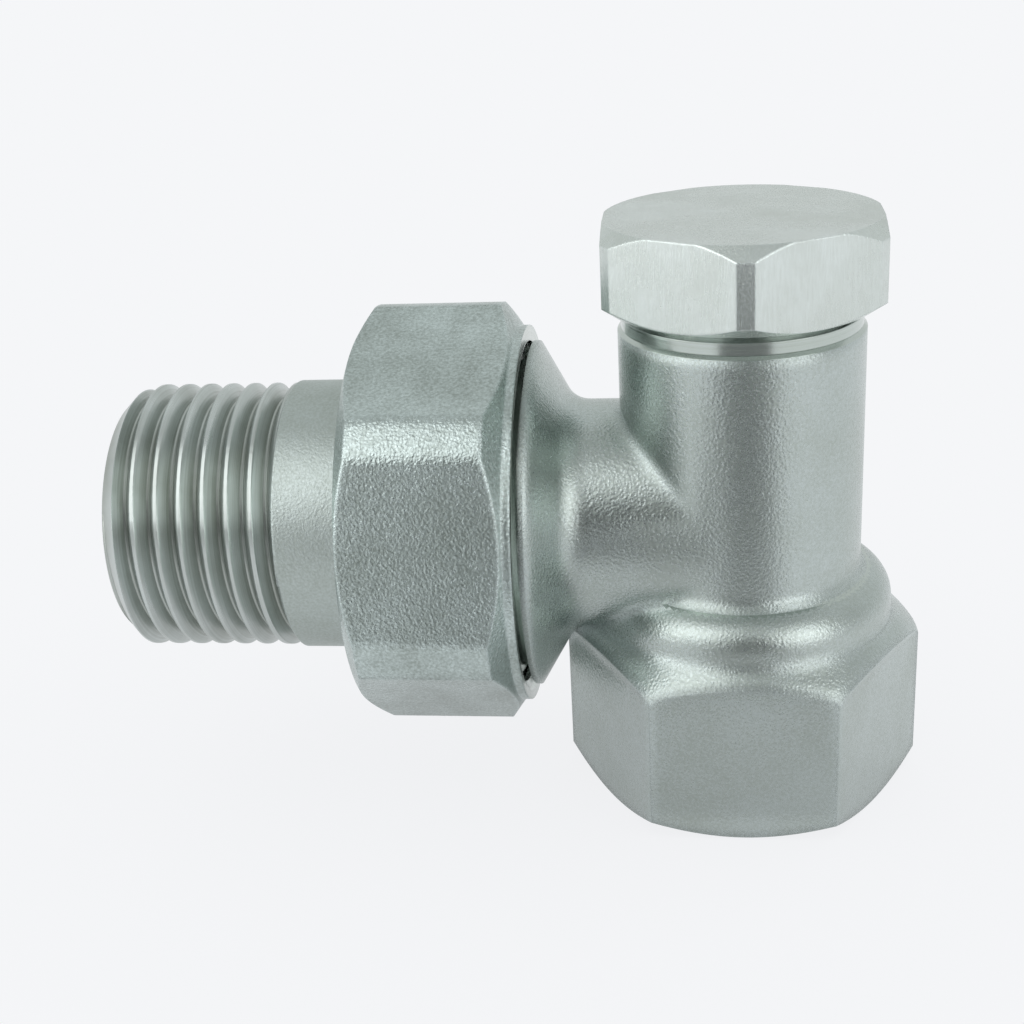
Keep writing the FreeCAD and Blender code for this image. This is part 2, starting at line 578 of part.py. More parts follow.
# Screw cap and its gasket.
cap = new_body("cap")
turn(cap, "cup", [
    ("cap_bore_radius", "cap_foot"),
    ("cap_flat - cap_foot_margin", "cap_foot"),
    ("cap_radius", "cap_foot + ( cap_radius - cap_flat + cap_foot_margin ) * tan(cap_foot_angle)"),
    ("cap_radius", "cap_top - ( cap_radius - cap_flat - cap_top_margin ) * tan(cap_top_angle)"),
    ("cap_flat + cap_top_margin", "cap_top"),
    ("0", "cap_top"),
    ("0", "cap_ceiling"),
    ("cap_bore_radius", "cap_ceiling"),
])
six_flats(cap, "cap_hexagon", [
    ("cap_flat", "cap_foot"),
    ("cap_radius + 1", "cap_foot"),
    ("cap_radius + 1", "cap_top"),
    ("cap_flat", "cap_top"),
], "cap_rest_turn")
cap_gasket = new_body("cap_gasket")
turn(cap_gasket, "gasket", [
    ("guide_radius + cap_gasket_room", "bonnet_top + face_gap"),
    ("cap_bore_radius - cap_gasket_room", "bonnet_top + face_gap"),
    ("cap_bore_radius - cap_gasket_room", "cap_ceiling - face_gap"),
    ("guide_radius + cap_gasket_room", "cap_ceiling - face_gap"),
])

# Union: tail with its spigot and seal, and the nut around its collar. Made around Z, then laid on the branch.
tailpiece = new_body("tailpiece")
turn(tailpiece, "tube", [
    ("tail_bore_radius", "spigot_end"),
    ("spigot_radius - spigot_edge", "spigot_end"),
    ("spigot_radius", "spigot_end + spigot_edge"),
    ("spigot_radius", "tail_groove"),
    ("tail_groove_floor", "tail_groove"),
    ("tail_groove_floor", "tail_groove + tail_groove_width"),
    ("spigot_radius", "tail_groove + tail_groove_width"),
    ("spigot_radius", "tail_collar_front"),
    ("tail_collar_radius", "tail_collar_front"),
    ("tail_collar_radius", "tail_collar_back"),
    ("shank_radius", "tail_collar_back"),
    ("shank_radius", "tail_thread_start - shank_step"),
    ("tail_radius", "tail_thread_start"),
    ("tail_radius", "tail_reach - tail_end_chamfer"),
    ("tail_radius - tail_end_chamfer", "tail_reach"),
    ("tail_bore_radius", "tail_reach"),
])
hexagon_socket(tailpiece, "tail_socket", "2 * tail_bore_radius + tail_socket_step", "tail_reach",
               "tail_socket_depth")
lay_on_branch(tailpiece)
tail_seal = seal_ring("tail_seal", "tail_seal_radius", "tail_seal_section", "branch_height")
lay_on_branch(tail_seal, "tail_groove + tail_groove_width / 2")
union_nut = new_body("union_nut")
turn(union_nut, "ring", [
    ("nut_bore_radius", "nut_start"),
    ("nut_rim_radius", "nut_start"),
    ("nut_rim_radius", "nut_start + nut_rim_width"),
    ("nut_radius", "nut_start + nut_rim_width + ( nut_radius - nut_rim_radius ) * tan(nut_inner_angle)"),
    ("nut_radius", "nut_end - ( nut_radius - nut_face_radius ) * tan(nut_outer_angle)"),
    ("nut_face_radius", "nut_end"),
    ("lip_radius", "nut_end"),
    ("lip_radius", "lip_face"),
    ("nut_bore_radius", "lip_face"),
])
six_flats(union_nut, "nut_hexagon", [
    ("nut_flat", "nut_start"),
    ("nut_radius + 1", "nut_start"),
    ("nut_radius + 1", "nut_end"),
    ("nut_flat", "nut_end"),
], "nut_rest_turn")
lay_on_branch(union_nut)

doc.recompute()
PIECES = [valve_body, bonnet_washer, bonnet, spindle, lower_seal, upper_seal, seat_washer, washer_plate,
          washer_screw, cap, cap_gasket, tailpiece, tail_seal, union_nut]
for item in doc.Objects:
    if "Invalid" in item.State or "Error" in item.State:
        raise RuntimeError(f"{item.Name} was not built")
for piece in PIECES:
    if piece.Shape.isNull() or not piece.Shape.isValid() or len(piece.Shape.Solids) != 1:
        raise RuntimeError(f"{piece.Label} is not one valid solid")
os.makedirs("parts", exist_ok=True)
for piece in PIECES:
    piece.Shape.exportStep(f"parts/{piece.Label}.step")
    box = piece.Shape.BoundBox
    spans = [f"{low:.2f}..{high:.2f}" for low, high in
             ((box.XMin, box.XMax), (box.YMin, box.YMax), (box.ZMin, box.ZMax))]
    print(piece.Label, f"{piece.Shape.Volume:.1f} mm3", *spans)
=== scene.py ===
# %% [markdown]
# # An angle lockshield radiator valve in nickel
# The valve is a forged brass body with a hexagonal foot, a neck that carries a screw cap, and a side
# branch with a union nut and a threaded radiator tail. Everything outside is nickel plated, but each
# piece was finished in its own way: forged and blasted, turned on a lathe, or thread-cut. The solids
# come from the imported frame. This lesson cuts the fine threads that the solids leave plain, gives
# each surface its finish, and sets a small studio around it.

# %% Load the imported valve
import math

import bmesh
import bpy
from mathutils import Matrix, Vector


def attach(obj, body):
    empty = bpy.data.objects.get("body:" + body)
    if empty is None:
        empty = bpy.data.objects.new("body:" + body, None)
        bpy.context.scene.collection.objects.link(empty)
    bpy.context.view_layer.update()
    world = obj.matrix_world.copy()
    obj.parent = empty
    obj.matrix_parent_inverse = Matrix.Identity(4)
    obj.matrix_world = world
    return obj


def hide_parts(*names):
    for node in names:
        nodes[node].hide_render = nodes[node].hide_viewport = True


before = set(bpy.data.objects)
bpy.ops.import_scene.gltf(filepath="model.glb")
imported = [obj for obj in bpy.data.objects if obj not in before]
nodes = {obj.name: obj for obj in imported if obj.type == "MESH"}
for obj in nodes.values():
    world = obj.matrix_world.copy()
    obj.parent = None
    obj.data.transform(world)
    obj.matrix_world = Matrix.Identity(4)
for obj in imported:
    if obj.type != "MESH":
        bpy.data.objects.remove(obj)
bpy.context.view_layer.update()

# %% [markdown]
# ## Working copies
# The solids of the frame are never edited. A piece that gets a thread starts as a copy of its solid.
# The loaded mesh is split along every edge where the shading breaks, so its corners are welded first:
# a Boolean needs a closed skin. The branch points to -X at a height of 22 mm, so pieces on it are
# easier to think of in a frame of their own, with Z running out along the branch.

# %% A welded copy of a solid
MM = 0.001
TO_MM = (1000, 1000, 1000)
BRANCH_LEVEL = 22
WELD = 2e-6
UPRIGHT = Matrix.Identity(4)
ON_BRANCH = Matrix.Translation((0, 0, BRANCH_LEVEL * MM)) @ Matrix.Rotation(math.radians(-90), 4, "Y")


def new_piece(name, points, faces):
    mesh = bpy.data.meshes.new(name)
    mesh.from_pydata(points, [], faces)
    mesh.update()
    piece = bpy.data.objects.new(name, mesh)
    bpy.context.scene.collection.objects.link(piece)
    return piece


def welded_copy(node, name):
    """A closed copy of a solid's skin, free of the loaded mesh's split corners."""
    work = bmesh.new()
    work.from_mesh(nodes[node].data)
    bmesh.ops.remove_doubles(work, verts=work.verts, dist=WELD)
    work.verts.index_update()
    points = [tuple(vert.co) for vert in work.verts]
    faces = [[vert.index for vert in face.verts] for face in work.faces]
    open_edges = sum(1 for edge in work.edges if len(edge.link_faces) != 2)
    work.free()
    print(name, "welded:", len(points), "points,", len(faces), "faces,", open_edges, "open edges")
    return new_piece(name, points, faces)


# %% [markdown]
# ## The thread tool
# A thread is one groove that runs round and round. A bump texture can fake it from afar, but its
# outline stays straight, and the photograph shows the crests standing out against the background. So
# a tool like the one on the lathe is swept along a helix and subtracted. Its section is the rounded V
# of a pipe thread: steep flanks, a round root, and a small easing at the crest so that the edges
# catch the light. Where the thread ends on the piece, the tool lifts out over most of a turn, as the
# real one does.

# %% Sweep a V along a helix
GROOVE = [(-0.47, 0.08), (-0.44, 0.013), (-0.365, -0.10), (-0.13, -0.84), (-0.07, -0.965), (0.0, -1.0),
          (0.07, -0.965), (0.13, -0.84), (0.365, -0.10), (0.44, 0.013), (0.47, 0.08)]
TURN_STEPS = 72
LIFT_OUT = 1.15


def thread_tool(name, place, start, end, radius, depth, pitch, inside=False, lift_turns=0.8):
    """The swept groove from start, outside the piece, to end, where it lifts out of the wall. All in mm."""
    start, end, radius, depth, pitch = (length * MM for length in (start, end, radius, depth, pitch))
    turns = (end - start) / pitch
    count = int(abs(turns) * TURN_STEPS) + 1
    side = -1.0 if inside else 1.0
    points = []
    for step in range(count):
        turn = step / TURN_STEPS
        rest = max(0.0, 1.0 - (abs(turns) - turn) / lift_turns)
        lift = depth * LIFT_OUT * rest * rest
        level = start + math.copysign(turn * pitch, turns)
        angle = 2 * math.pi * turn * math.copysign(1.0, turns)
        for along, out in GROOVE:
            reach = radius + side * (out * depth + lift)
            corner = Vector((reach * math.cos(angle), reach * math.sin(angle), level + along * pitch))
            points.append(place @ corner)
    width = len(GROOVE)
    faces = [[step * width + i, step * width + (i + 1) % width,
              (step + 1) * width + (i + 1) % width, (step + 1) * width + i]
             for step in range(count - 1) for i in range(width)]
    faces.append(list(range(width)))
    faces.append(list(range((count - 1) * width, count * width)))
    tool = new_piece(name, [tuple(point) for point in points], faces)
    work = bmesh.new()
    work.from_mesh(tool.data)
    bmesh.ops.recalc_face_normals(work, faces=work.faces)
    work.to_mesh(tool.data)
    work.free()
    return tool


def carve(piece, tool):
    """Subtract a tool from a piece and throw the tool away."""
    before = len(piece.data.polygons)
    cut = piece.modifiers.new("thread", "BOOLEAN")
    cut.operation = "DIFFERENCE"
    cut.solver = "EXACT"
    cut.object = tool
    seen = piece.evaluated_get(bpy.context.evaluated_depsgraph_get())
    mesh = bpy.data.meshes.new_from_object(seen)
    piece.modifiers.clear()
    piece.data = mesh
    bpy.data.objects.remove(tool)
    print(piece.name, "faces before and after the cut:", before, len(mesh.polygons))


# %% [markdown]
# ## Radiator tail
# The tail screws into the radiator. Its thread is the half-inch pipe thread, 14 turns to the inch, so
# the pitch is 1.814 mm. Seven crests show in the photograph between the end and the plain shank.

# %% Cut the tail's thread
PIPE_PITCH = 1.814
tail = welded_copy("tailpiece", "threaded_tail")
carve(tail, thread_tool("tail_tool", ON_BRANCH, start=50.1, end=34.0, radius=10.46, depth=1.16,
                        pitch=PIPE_PITCH))

# %% [markdown]
# ## Body, nut, bonnet and cap
# The body has two threads: the female one in its foot takes the pipe, and the one on its nose takes
# the union nut. The bonnet's upper end and the cap share a fine thread of 1 mm. None of these shows
# in the photograph, but they come to light when the nut and the cap are unscrewed or the valve is
# turned over, so they are cut too.

# %% Cut the body's two threads
body = welded_copy("valve_body", "threaded_body")
carve(body, thread_tool("nose_tool", ON_BRANCH, start=25.3, end=16.9, radius=13.2, depth=0.95,
                        pitch=PIPE_PITCH, lift_turns=0.4))
carve(body, thread_tool("inlet_tool", UPRIGHT, start=-1.6, end=11.0, radius=9.35, depth=1.1,
                        pitch=PIPE_PITCH, inside=True))

# %% Cut the nut, the bonnet and the cap
CAP_PITCH = 1.0
CAP_DEPTH = 0.5
nut = welded_copy("union_nut", "threaded_nut")
carve(nut, thread_tool("nut_tool", ON_BRANCH, start=14.9, end=25.3, radius=13.25, depth=0.85,
                       pitch=PIPE_PITCH, inside=True))
bonnet = welded_copy("bonnet", "threaded_bonnet")
carve(bonnet, thread_tool("bonnet_tool", UPRIGHT, start=44.3, end=38.8, radius=7.6, depth=CAP_DEPTH,
                          pitch=CAP_PITCH, lift_turns=0.4))
cap = welded_copy("cap", "threaded_cap")
carve(cap, thread_tool("cap_tool", UPRIGHT, start=37.9, end=42.8, radius=7.65, depth=CAP_DEPTH,
                       pitch=CAP_PITCH, inside=True, lift_turns=0.4))

# %% [markdown]
# A cut leaves slivers: faces a thousandth of a millimetre wide where two edges almost met. They would
# show as sparks in the shading and as loose faces in the mesh, so the skin is welded at that size once
# more, and its faces become triangles. Then it has to be closed: every edge has two faces.

# %% Clean the cut skins
SLIVER = 1e-6


def clean_skin(piece):
    work = bmesh.new()
    work.from_mesh(piece.data)
    bmesh.ops.remove_doubles(work, verts=work.verts, dist=SLIVER)
    for _ in range(2):
        bmesh.ops.dissolve_degenerate(work, dist=SLIVER, edges=work.edges)
        bmesh.ops.triangulate(work, faces=[face for face in work.faces if len(face.verts) > 3])
    open_edges = sum(1 for edge in work.edges if len(edge.link_faces) != 2)
    work.to_mesh(piece.data)
    print(piece.name, "has", len(work.faces), "triangles and", open_edges, "open edges")
    work.free()


for piece in (tail, body, nut, bonnet, cap):
    clean_skin(piece)

# %% [markdown]
# Each threaded piece now stands for its solid, rides on the same body of the mechanism and keeps its
# place. Faces that meet at a small angle are shaded as one round surface, and real edges stay crisp.

# %% Seat the threaded pieces
CRISP_ANGLE = math.radians(27)
SEATS = [(tail, "tail", "tailpiece", "nickel_thread"), (body, "valve", "valve_body", "nickel_forged"),
         (nut, "union_nut", "union_nut", "nickel_nut"), (bonnet, "valve", "bonnet", "nickel_turned"),
         (cap, "cap", "cap", "nickel_cap")]
for piece, rides_on, node, slot in SEATS:
    piece.data.shade_smooth()
    piece.data.set_sharp_from_angle(angle=CRISP_ANGLE)
    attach(piece, rides_on)
    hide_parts(node)
    print(piece.name, "rides on", rides_on, "and stands for", node)

# %% [markdown]
# ## Finishes: shared effects
# Nickel is one metal here, and the finishes differ only in what was done to the surface. Each effect
# is built once as a node group: the fine speckle that blasting leaves, the rings of a lathe tool, a
# brushed grain, the faint clouds of plating and handling, and the polishing that edges get in the drum,
# which also lays a painted highlight along them.
# The first four read the object's own coordinates in millimetres, so they stay with a piece when it
# moves. The last one compares rounded normals with the plain ones.

# %% Helpers for node groups
def new_group(name, inputs, outputs):
    group = bpy.data.node_groups.new(name, "ShaderNodeTree")
    for label, kind, value in inputs:
        socket = group.interface.new_socket(label, in_out="INPUT", socket_type=kind)
        if value is not None:
            socket.default_value = value
    for label, kind in outputs:
        group.interface.new_socket(label, in_out="OUTPUT", socket_type=kind)
    start = group.nodes.new("NodeGroupInput")
    end = group.nodes.new("NodeGroupOutput")
    return group, start.outputs, end.inputs


def add(tree, kind, links=(), **settings):
    """A node with its settings, and links given as (input, output socket or plain value)."""
    node = tree.nodes.new(kind)
    for key, value in settings.items():
        setattr(node, key, value)
    for socket, source in links:
        if isinstance(source, bpy.types.NodeSocket):
            tree.links.new(source, node.inputs[socket])
        else:
            node.inputs[socket].default_value = source
    return node


def maths(tree, operation, first, second=0.0, third=None):
    links = [(0, first), (1, second)] + ([(2, third)] if third is not None else [])
    return add(tree, "ShaderNodeMath", links, operation=operation).outputs[0]


def spread_out(tree, value, low, high, to_low=0.0, to_high=1.0):
    """Stretch the range low to high of a value to another range, and clip what lies outside."""
    return add(tree, "ShaderNodeMapRange", [("Value", value), ("From Min", low), ("From Max", high),
                                            ("To Min", to_low), ("To Max", to_high)]).outputs[0]


# %% Blasted grain
grain, source, result = new_group(
    "blasted_grain",
    [("Place", "NodeSocketVector", None), ("Pits per mm", "NodeSocketFloat", 5.0)],
    [("Height", "NodeSocketFloat"), ("Glint", "NodeSocketFloat")])
fine = add(grain, "ShaderNodeTexNoise", [("Vector", source["Place"]), ("Scale", source["Pits per mm"]),
                                         ("Detail", 2.0), ("Roughness", 0.6)]).outputs["Fac"]
pits = add(grain, "ShaderNodeTexVoronoi", [("Vector", source["Place"]), ("Scale", source["Pits per mm"])],
           feature="F1").outputs["Distance"]
grain.links.new(maths(grain, "MULTIPLY_ADD", pits, 0.45, fine), result["Height"])
raised = maths(grain, "MULTIPLY_ADD", pits, -0.25, fine)
grain.links.new(spread_out(grain, raised, 0.2, 0.58), result["Glint"])
print(grain.name, "with", len(grain.nodes), "nodes")

# %% Lathe rings
rings, source, result = new_group(
    "lathe_rings",
    [("Place", "NodeSocketVector", None), ("Rings per mm", "NodeSocketFloat", 6.0)],
    [("Height", "NodeSocketFloat"), ("Radius", "NodeSocketFloat")])
parts = add(rings, "ShaderNodeSeparateXYZ", [(0, source["Place"])])
flat = maths(rings, "SQRT", maths(rings, "ADD", maths(rings, "POWER", parts.outputs[0], 2.0),
                                  maths(rings, "POWER", parts.outputs[1], 2.0)))
along = maths(rings, "MULTIPLY", maths(rings, "ADD", flat, parts.outputs[2]), source["Rings per mm"])
tool_marks = add(rings, "ShaderNodeTexNoise", [("W", along), ("Scale", 1.0), ("Detail", 1.0)],
                 noise_dimensions="1D")
rings.links.new(tool_marks.outputs["Fac"], result["Height"])
rings.links.new(flat, result["Radius"])
print(rings.name, "with", len(rings.nodes), "nodes")

# %% Brushed grain
brushed, source, result = new_group(
    "brushed_grain",
    [("Place", "NodeSocketVector", None), ("Streaks per mm", "NodeSocketFloat", 7.0)],
    [("Height", "NodeSocketFloat")])
drawn = add(brushed, "ShaderNodeMapping", [("Vector", source["Place"]), ("Scale", (1.0, 1.0, 0.12))])
streaks = add(brushed, "ShaderNodeTexNoise", [("Vector", drawn.outputs[0]),
                                              ("Scale", source["Streaks per mm"]),
                                              ("Detail", 3.0), ("Roughness", 0.65)])
brushed.links.new(streaks.outputs["Fac"], result["Height"])
print(brushed.name, "with", len(brushed.nodes), "nodes")

# %% Plating clouds
clouds, source, result = new_group(
    "plating_clouds",
    [("Place", "NodeSocketVector", None), ("Clouds per mm", "NodeSocketFloat", 0.16)],
    [("Tone", "NodeSocketFloat")])
wide = add(clouds, "ShaderNodeTexNoise", [("Vector", source["Place"]), ("Scale", source["Clouds per mm"]),
                                          ("Detail", 4.0), ("Roughness", 0.6)]).outputs["Fac"]
clouds.links.new(spread_out(clouds, wide, 0.3, 0.7), result["Tone"])
print(clouds.name, "with", len(clouds.nodes), "nodes")

# %% Edge polishing and painted edge highlight
rubbed_edge_highlight, source, result = new_group(
    "edge_polish_and_painted_highlight",
    [("Rounded", "NodeSocketVector", None), ("Flat", "NodeSocketVector", None)],
    [("Edge", "NodeSocketFloat")])
# The mask marks edges, which get both the wear of polishing and a painted highlight.
alike = add(rubbed_edge_highlight, "ShaderNodeVectorMath", [(0, source["Rounded"]), (1, source["Flat"])],
            operation="DOT_PRODUCT").outputs["Value"]
rubbed_edge_highlight.links.new(spread_out(rubbed_edge_highlight, alike, 0.995, 0.9), result["Edge"])
print(rubbed_edge_highlight.name, "with", len(rubbed_edge_highlight.nodes), "nodes")

# %% [markdown]
# ## Finishes: the metals
# Each metal is a Principled shader with Metallic at 1. The clouds and the grain shift its colour and
# its roughness a little, and the grain, the streaks or the rings go to a Bump node. A forged edge is
# never sharp, so the normals are first rounded by a Bevel node: it softens both the corners of the
# hexagons and the crease where the branch runs into the neck, without moving a point. Where it turns
# the normal, the metal is a little smoother, because edges wear most in the drum, and a little
# brighter, partly from that wear and partly as a painted highlight along the edges.

# %% Start of a material, and a blend of two colours
def new_look(name):
    """A material with its tree and shader, and the place on the piece in mm."""
    material = bpy.data.materials.new(name)
    material.use_nodes = True
    tree = material.node_tree
    where = add(tree, "ShaderNodeTexCoord").outputs["Object"]
    place = add(tree, "ShaderNodeMapping", [("Vector", where), ("Scale", TO_MM)]).outputs[0]
    return material, tree, tree.nodes["Principled BSDF"], place


def blend(tree, factor, first, second, clip=True):
    """Blend two colours by a value. Without the clip, the value may lead past either of them."""
    shade = add(tree, "ShaderNodeMix", [("Factor", factor)], data_type="RGBA", clamp_factor=clip)
    for label, colour in (("A", first), ("B", second)):
        socket = next(s for s in shade.inputs if s.name == label and s.type == "RGBA")
        socket.default_value = (*colour, 1.0)
    return next(s for s in shade.outputs if s.type == "RGBA")


# %% One recipe for all metals
CLOUD_SHARE = 0.45
MARK_SHARE = 0.55
# The share of the edge mask in the tone: worn polishing and a painted highlight along edges.
RUBBED_AND_HIGHLIGHT_SHARE = 0.35
# Painted shade at the root of a thread and a faint painted highlight at its crest, as shifts of the tone.
ROOT_PAINTED_SHADE, CREST_PAINTED_HIGHLIGHT = -0.38, 0.08
ROUGH_SWING = 0.05
WARM_BLUE, COOL_BLUE = 0.97, 1.03


def metal(name, colour, rough, effect, per_mm, height, edge_round=0.0, spread=0.1, about=UPRIGHT,
          groove=None):
    """Nickel or brass with one surface effect. Rings run round the frame about, and the groove of a thread,
    given by its root and crest radius in mm, gets painted shade at its bottom and a faint painted
    highlight at its crest."""
    material, tree, shader, place = new_look(name)
    shader.inputs["Metallic"].default_value = 1.0
    tone = add(tree, "ShaderNodeGroup", [("Place", place)], node_tree=clouds).outputs["Tone"]
    level = maths(tree, "MULTIPLY", tone, CLOUD_SHARE)
    if about is ON_BRANCH:
        place = add(tree, "ShaderNodeMapping", [("Vector", place),
                                                ("Location", (0, 0, -BRANCH_LEVEL))]).outputs[0]
        place = add(tree, "ShaderNodeMapping", [("Vector", place),
                                                ("Rotation", (0, math.radians(90), 0))]).outputs[0]
    marks = add(tree, "ShaderNodeGroup", [("Place", place), (1, per_mm)], node_tree=effect).outputs
    glint = marks["Glint"] if effect is grain else marks["Height"]
    level = maths(tree, "MULTIPLY_ADD", glint, MARK_SHARE, level)
    if groove:
        # Painted shade: the colour darkens towards the thread's root and lightens a little at its crest.
        level = maths(tree, "ADD", level, spread_out(tree, marks["Radius"], *groove, ROOT_PAINTED_SHADE, CREST_PAINTED_HIGHLIGHT))
    bump = add(tree, "ShaderNodeBump", [("Height", marks["Height"]), ("Strength", 1.0),
                                        ("Distance", height * MM)])
    if edge_round:
        rounded = add(tree, "ShaderNodeBevel", [("Radius", edge_round * MM)], samples=4).outputs[0]
        tree.links.new(rounded, bump.inputs["Normal"])
        flat_normal = add(tree, "ShaderNodeNewGeometry").outputs["Normal"]
        # Painted highlight along the edges, mixed with the wear of polishing: where the rounded normal
        # turns, the colour brightens and the roughness drops.
        rubbed_and_highlit = add(tree, "ShaderNodeGroup", [("Rounded", rounded), ("Flat", flat_normal)],
                     node_tree=rubbed_edge_highlight).outputs["Edge"]
        level = maths(tree, "MULTIPLY_ADD", rubbed_and_highlit, RUBBED_AND_HIGHLIGHT_SHARE, level)
    tree.links.new(bump.outputs[0], shader.inputs["Normal"])
    red, green, blue = colour
    dark, light = 1 - spread, 1 + spread
    shade = blend(tree, level, (red * dark, green * dark, blue * dark * WARM_BLUE),
                  (red * light, green * light, blue * light * COOL_BLUE), clip=False)
    tree.links.new(shade, shader.inputs["Base Color"])
    gloss = spread_out(tree, level, 0.0, 1.0, rough + ROUGH_SWING, rough - ROUGH_SWING)
    tree.links.new(gloss, shader.inputs["Roughness"])
    print(name, "colour", [round(c, 2) for c in colour], "roughness about", rough)
    return material


# %% The metals of this valve
forged_nickel = metal("forged_nickel", (0.462, 0.516, 0.494), rough=0.27, effect=grain, per_mm=4.6,
                      height=0.030, edge_round=1.5, spread=0.12)
nut_nickel = metal("nut_nickel", (0.455, 0.522, 0.499), rough=0.29, effect=grain, per_mm=4.6,
                   height=0.042, edge_round=0.4, spread=0.34)
shank_nickel = metal("shank_nickel", (0.44, 0.492, 0.468), rough=0.44, effect=grain, per_mm=5.0,
                     height=0.024, edge_round=0.15, spread=0.14)
cap_nickel = metal("cap_nickel", (0.625, 0.677, 0.645), rough=0.27, effect=brushed, per_mm=6.0,
                   height=0.034, edge_round=0.2, spread=0.18)
# The tail's thread wears painted shade in its roots and a faint painted highlight on its crests.
thread_nickel = metal("thread_nickel", (0.48, 0.520, 0.497), rough=0.30, effect=rings, per_mm=5.0,
                      height=0.006, spread=0.25, about=ON_BRANCH, groove=(9.4, 10.3))
branch_turned = metal("branch_turned", (0.51, 0.565, 0.53), rough=0.20, effect=rings, per_mm=6.0,
                      height=0.004, edge_round=0.1, about=ON_BRANCH)
turned_nickel = metal("turned_nickel", (0.51, 0.565, 0.53), rough=0.20, effect=rings, per_mm=6.0,
                      height=0.004, edge_round=0.1)
bare_brass = metal("bare_brass", (0.62, 0.44, 0.18), rough=0.28, effect=rings, per_mm=6.0,
                   height=0.005, edge_round=0.1)

# %% [markdown]
# The seals are black rubber with a dull, faintly mottled skin, and the two flat washers are pressed
# fibre. They lie inside and hardly show until the valve is taken apart, but they get the same care.

# %% Rubber and fibre
SOFT_SWING = 0.06


def soft_stuff(name, dark, light, rough, per_mm, height):
    material, tree, shader, place = new_look(name)
    pits = add(tree, "ShaderNodeGroup", [("Place", place), ("Pits per mm", per_mm)],
               node_tree=grain).outputs
    tree.links.new(blend(tree, pits["Glint"], dark, light), shader.inputs["Base Color"])
    bump = add(tree, "ShaderNodeBump", [("Height", pits["Height"]), ("Distance", height * MM)])
    tree.links.new(bump.outputs[0], shader.inputs["Normal"])
    gloss = spread_out(tree, pits["Glint"], 0.0, 1.0, rough + SOFT_SWING, rough - SOFT_SWING)
    tree.links.new(gloss, shader.inputs["Roughness"])
    print(name, "roughness about", rough)
    return material


seal_rubber = soft_stuff("seal_rubber", dark=(0.012, 0.012, 0.013), light=(0.03, 0.03, 0.031),
                         rough=0.55, per_mm=6.0, height=0.01)
pressed_fibre = soft_stuff("pressed_fibre", dark=(0.20, 0.07, 0.045), light=(0.30, 0.12, 0.08),
                           rough=0.7, per_mm=4.0, height=0.02)

# %% [markdown]
# ## Who wears what
# A node with one finish takes it in its material slot. The threaded pieces have more than one finish,
# as the real ones do: where a lathe tool passed, the metal is bright and ringed, and everywhere else
# it is blasted. The faces are sorted by where their centres lie, in millimetres.

# %% Finish the hidden solids
FINISH = {"spindle": bare_brass, "washer_plate": bare_brass, "washer_screw": bare_brass,
          "spindle_seal_lower": seal_rubber, "spindle_seal_upper": seal_rubber, "tail_seal": seal_rubber,
          "seat_washer": seal_rubber, "bonnet_washer": pressed_fibre, "cap_gasket": pressed_fibre}
for node, material in FINISH.items():
    nodes[node].data.materials.clear()
    nodes[node].data.materials.append(material)
    print(node, "wears", material.name)


# %% Sort the faces of the threaded pieces
def wear(piece, materials, rule):
    """Give each face the material whose index the rule returns for its centre and normal, in mm."""
    piece.data.materials.clear()
    for material in materials:
        piece.data.materials.append(material)
    counts = [0] * len(materials)
    for face in piece.data.polygons:
        centre = face.center / MM
        face.material_index = rule(centre, face.normal)
        counts[face.material_index] += 1
    print(piece.name, dict(zip([m.name for m in materials], counts)))


def out_from_branch(centre):
    """How far out along the branch a point lies, and how far from the branch's axis."""
    return -centre.x, math.hypot(centre.y, centre.z - BRANCH_LEVEL)


def faces_branch_axis(centre, normal):
    return normal.y * centre.y + normal.z * (centre.z - BRANCH_LEVEL) < -0.1


# %% Rules for the tail and the body
TAIL_BORE = 8.6
COLLAR_END = 26.3
THREAD_START = 34.5
NOSE_START = 15.75
BRANCH_BORE_START = 7.5
BRANCH_BORE = 8.9
INLET_WALL = 10.6
INLET_STEP = 9.9
NECK_TOP = 36.88
FOOT_FACE = 0.005
END_FACE = 0.9


def tail_rule(centre, normal):
    out, reach = out_from_branch(centre)
    if reach < TAIL_BORE or out < COLLAR_END:
        return 2
    return 1 if out > THREAD_START else 0


def body_rule(centre, normal):
    out, reach = out_from_branch(centre)
    upright = math.hypot(centre.x, centre.y)
    on_nose = out > NOSE_START
    in_branch = out > BRANCH_BORE_START and reach < BRANCH_BORE and faces_branch_axis(centre, normal)
    if on_nose or in_branch:
        return 2
    inward = normal.x * centre.x + normal.y * centre.y < -0.2 and upright < INLET_WALL
    level_ring = upright < INLET_STEP and abs(normal.z) > END_FACE
    return 1 if inward or level_ring or centre.z > NECK_TOP or centre.z < FOOT_FACE else 0


# %% Rules for the nut, the cap and the bonnet, and the sorting
NUT_RIM = 14.2
CAP_BORE = 8.3
CAP_CEILING = 44.2
FLANGE_SIDE = 37.15


def nut_rule(centre, normal):
    turned_rim = abs(normal.x) > END_FACE or out_from_branch(centre)[1] < NUT_RIM
    return 1 if turned_rim or faces_branch_axis(centre, normal) else 0


def cap_rule(centre, normal):
    return 1 if math.hypot(centre.x, centre.y) < CAP_BORE and centre.z < CAP_CEILING else 0


def bonnet_rule(centre, normal):
    return 1 if centre.z > FLANGE_SIDE else 0


wear(tail, [shank_nickel, thread_nickel, branch_turned], tail_rule)
wear(body, [forged_nickel, turned_nickel, branch_turned], body_rule)
wear(nut, [nut_nickel, branch_turned], nut_rule)
wear(bonnet, [bare_brass, turned_nickel], bonnet_rule)
wear(cap, [cap_nickel, turned_nickel], cap_rule)

# %% [markdown]
# ## Studio
# The photograph has a plain pale ground with a faint soft shadow and no horizon. The floor is pale
# for every ray that looks at it, and darkens a little where the valve keeps light from it. The world
# behind it has the same pale tone, so the two melt together in every view. From below the floor is
# clear.

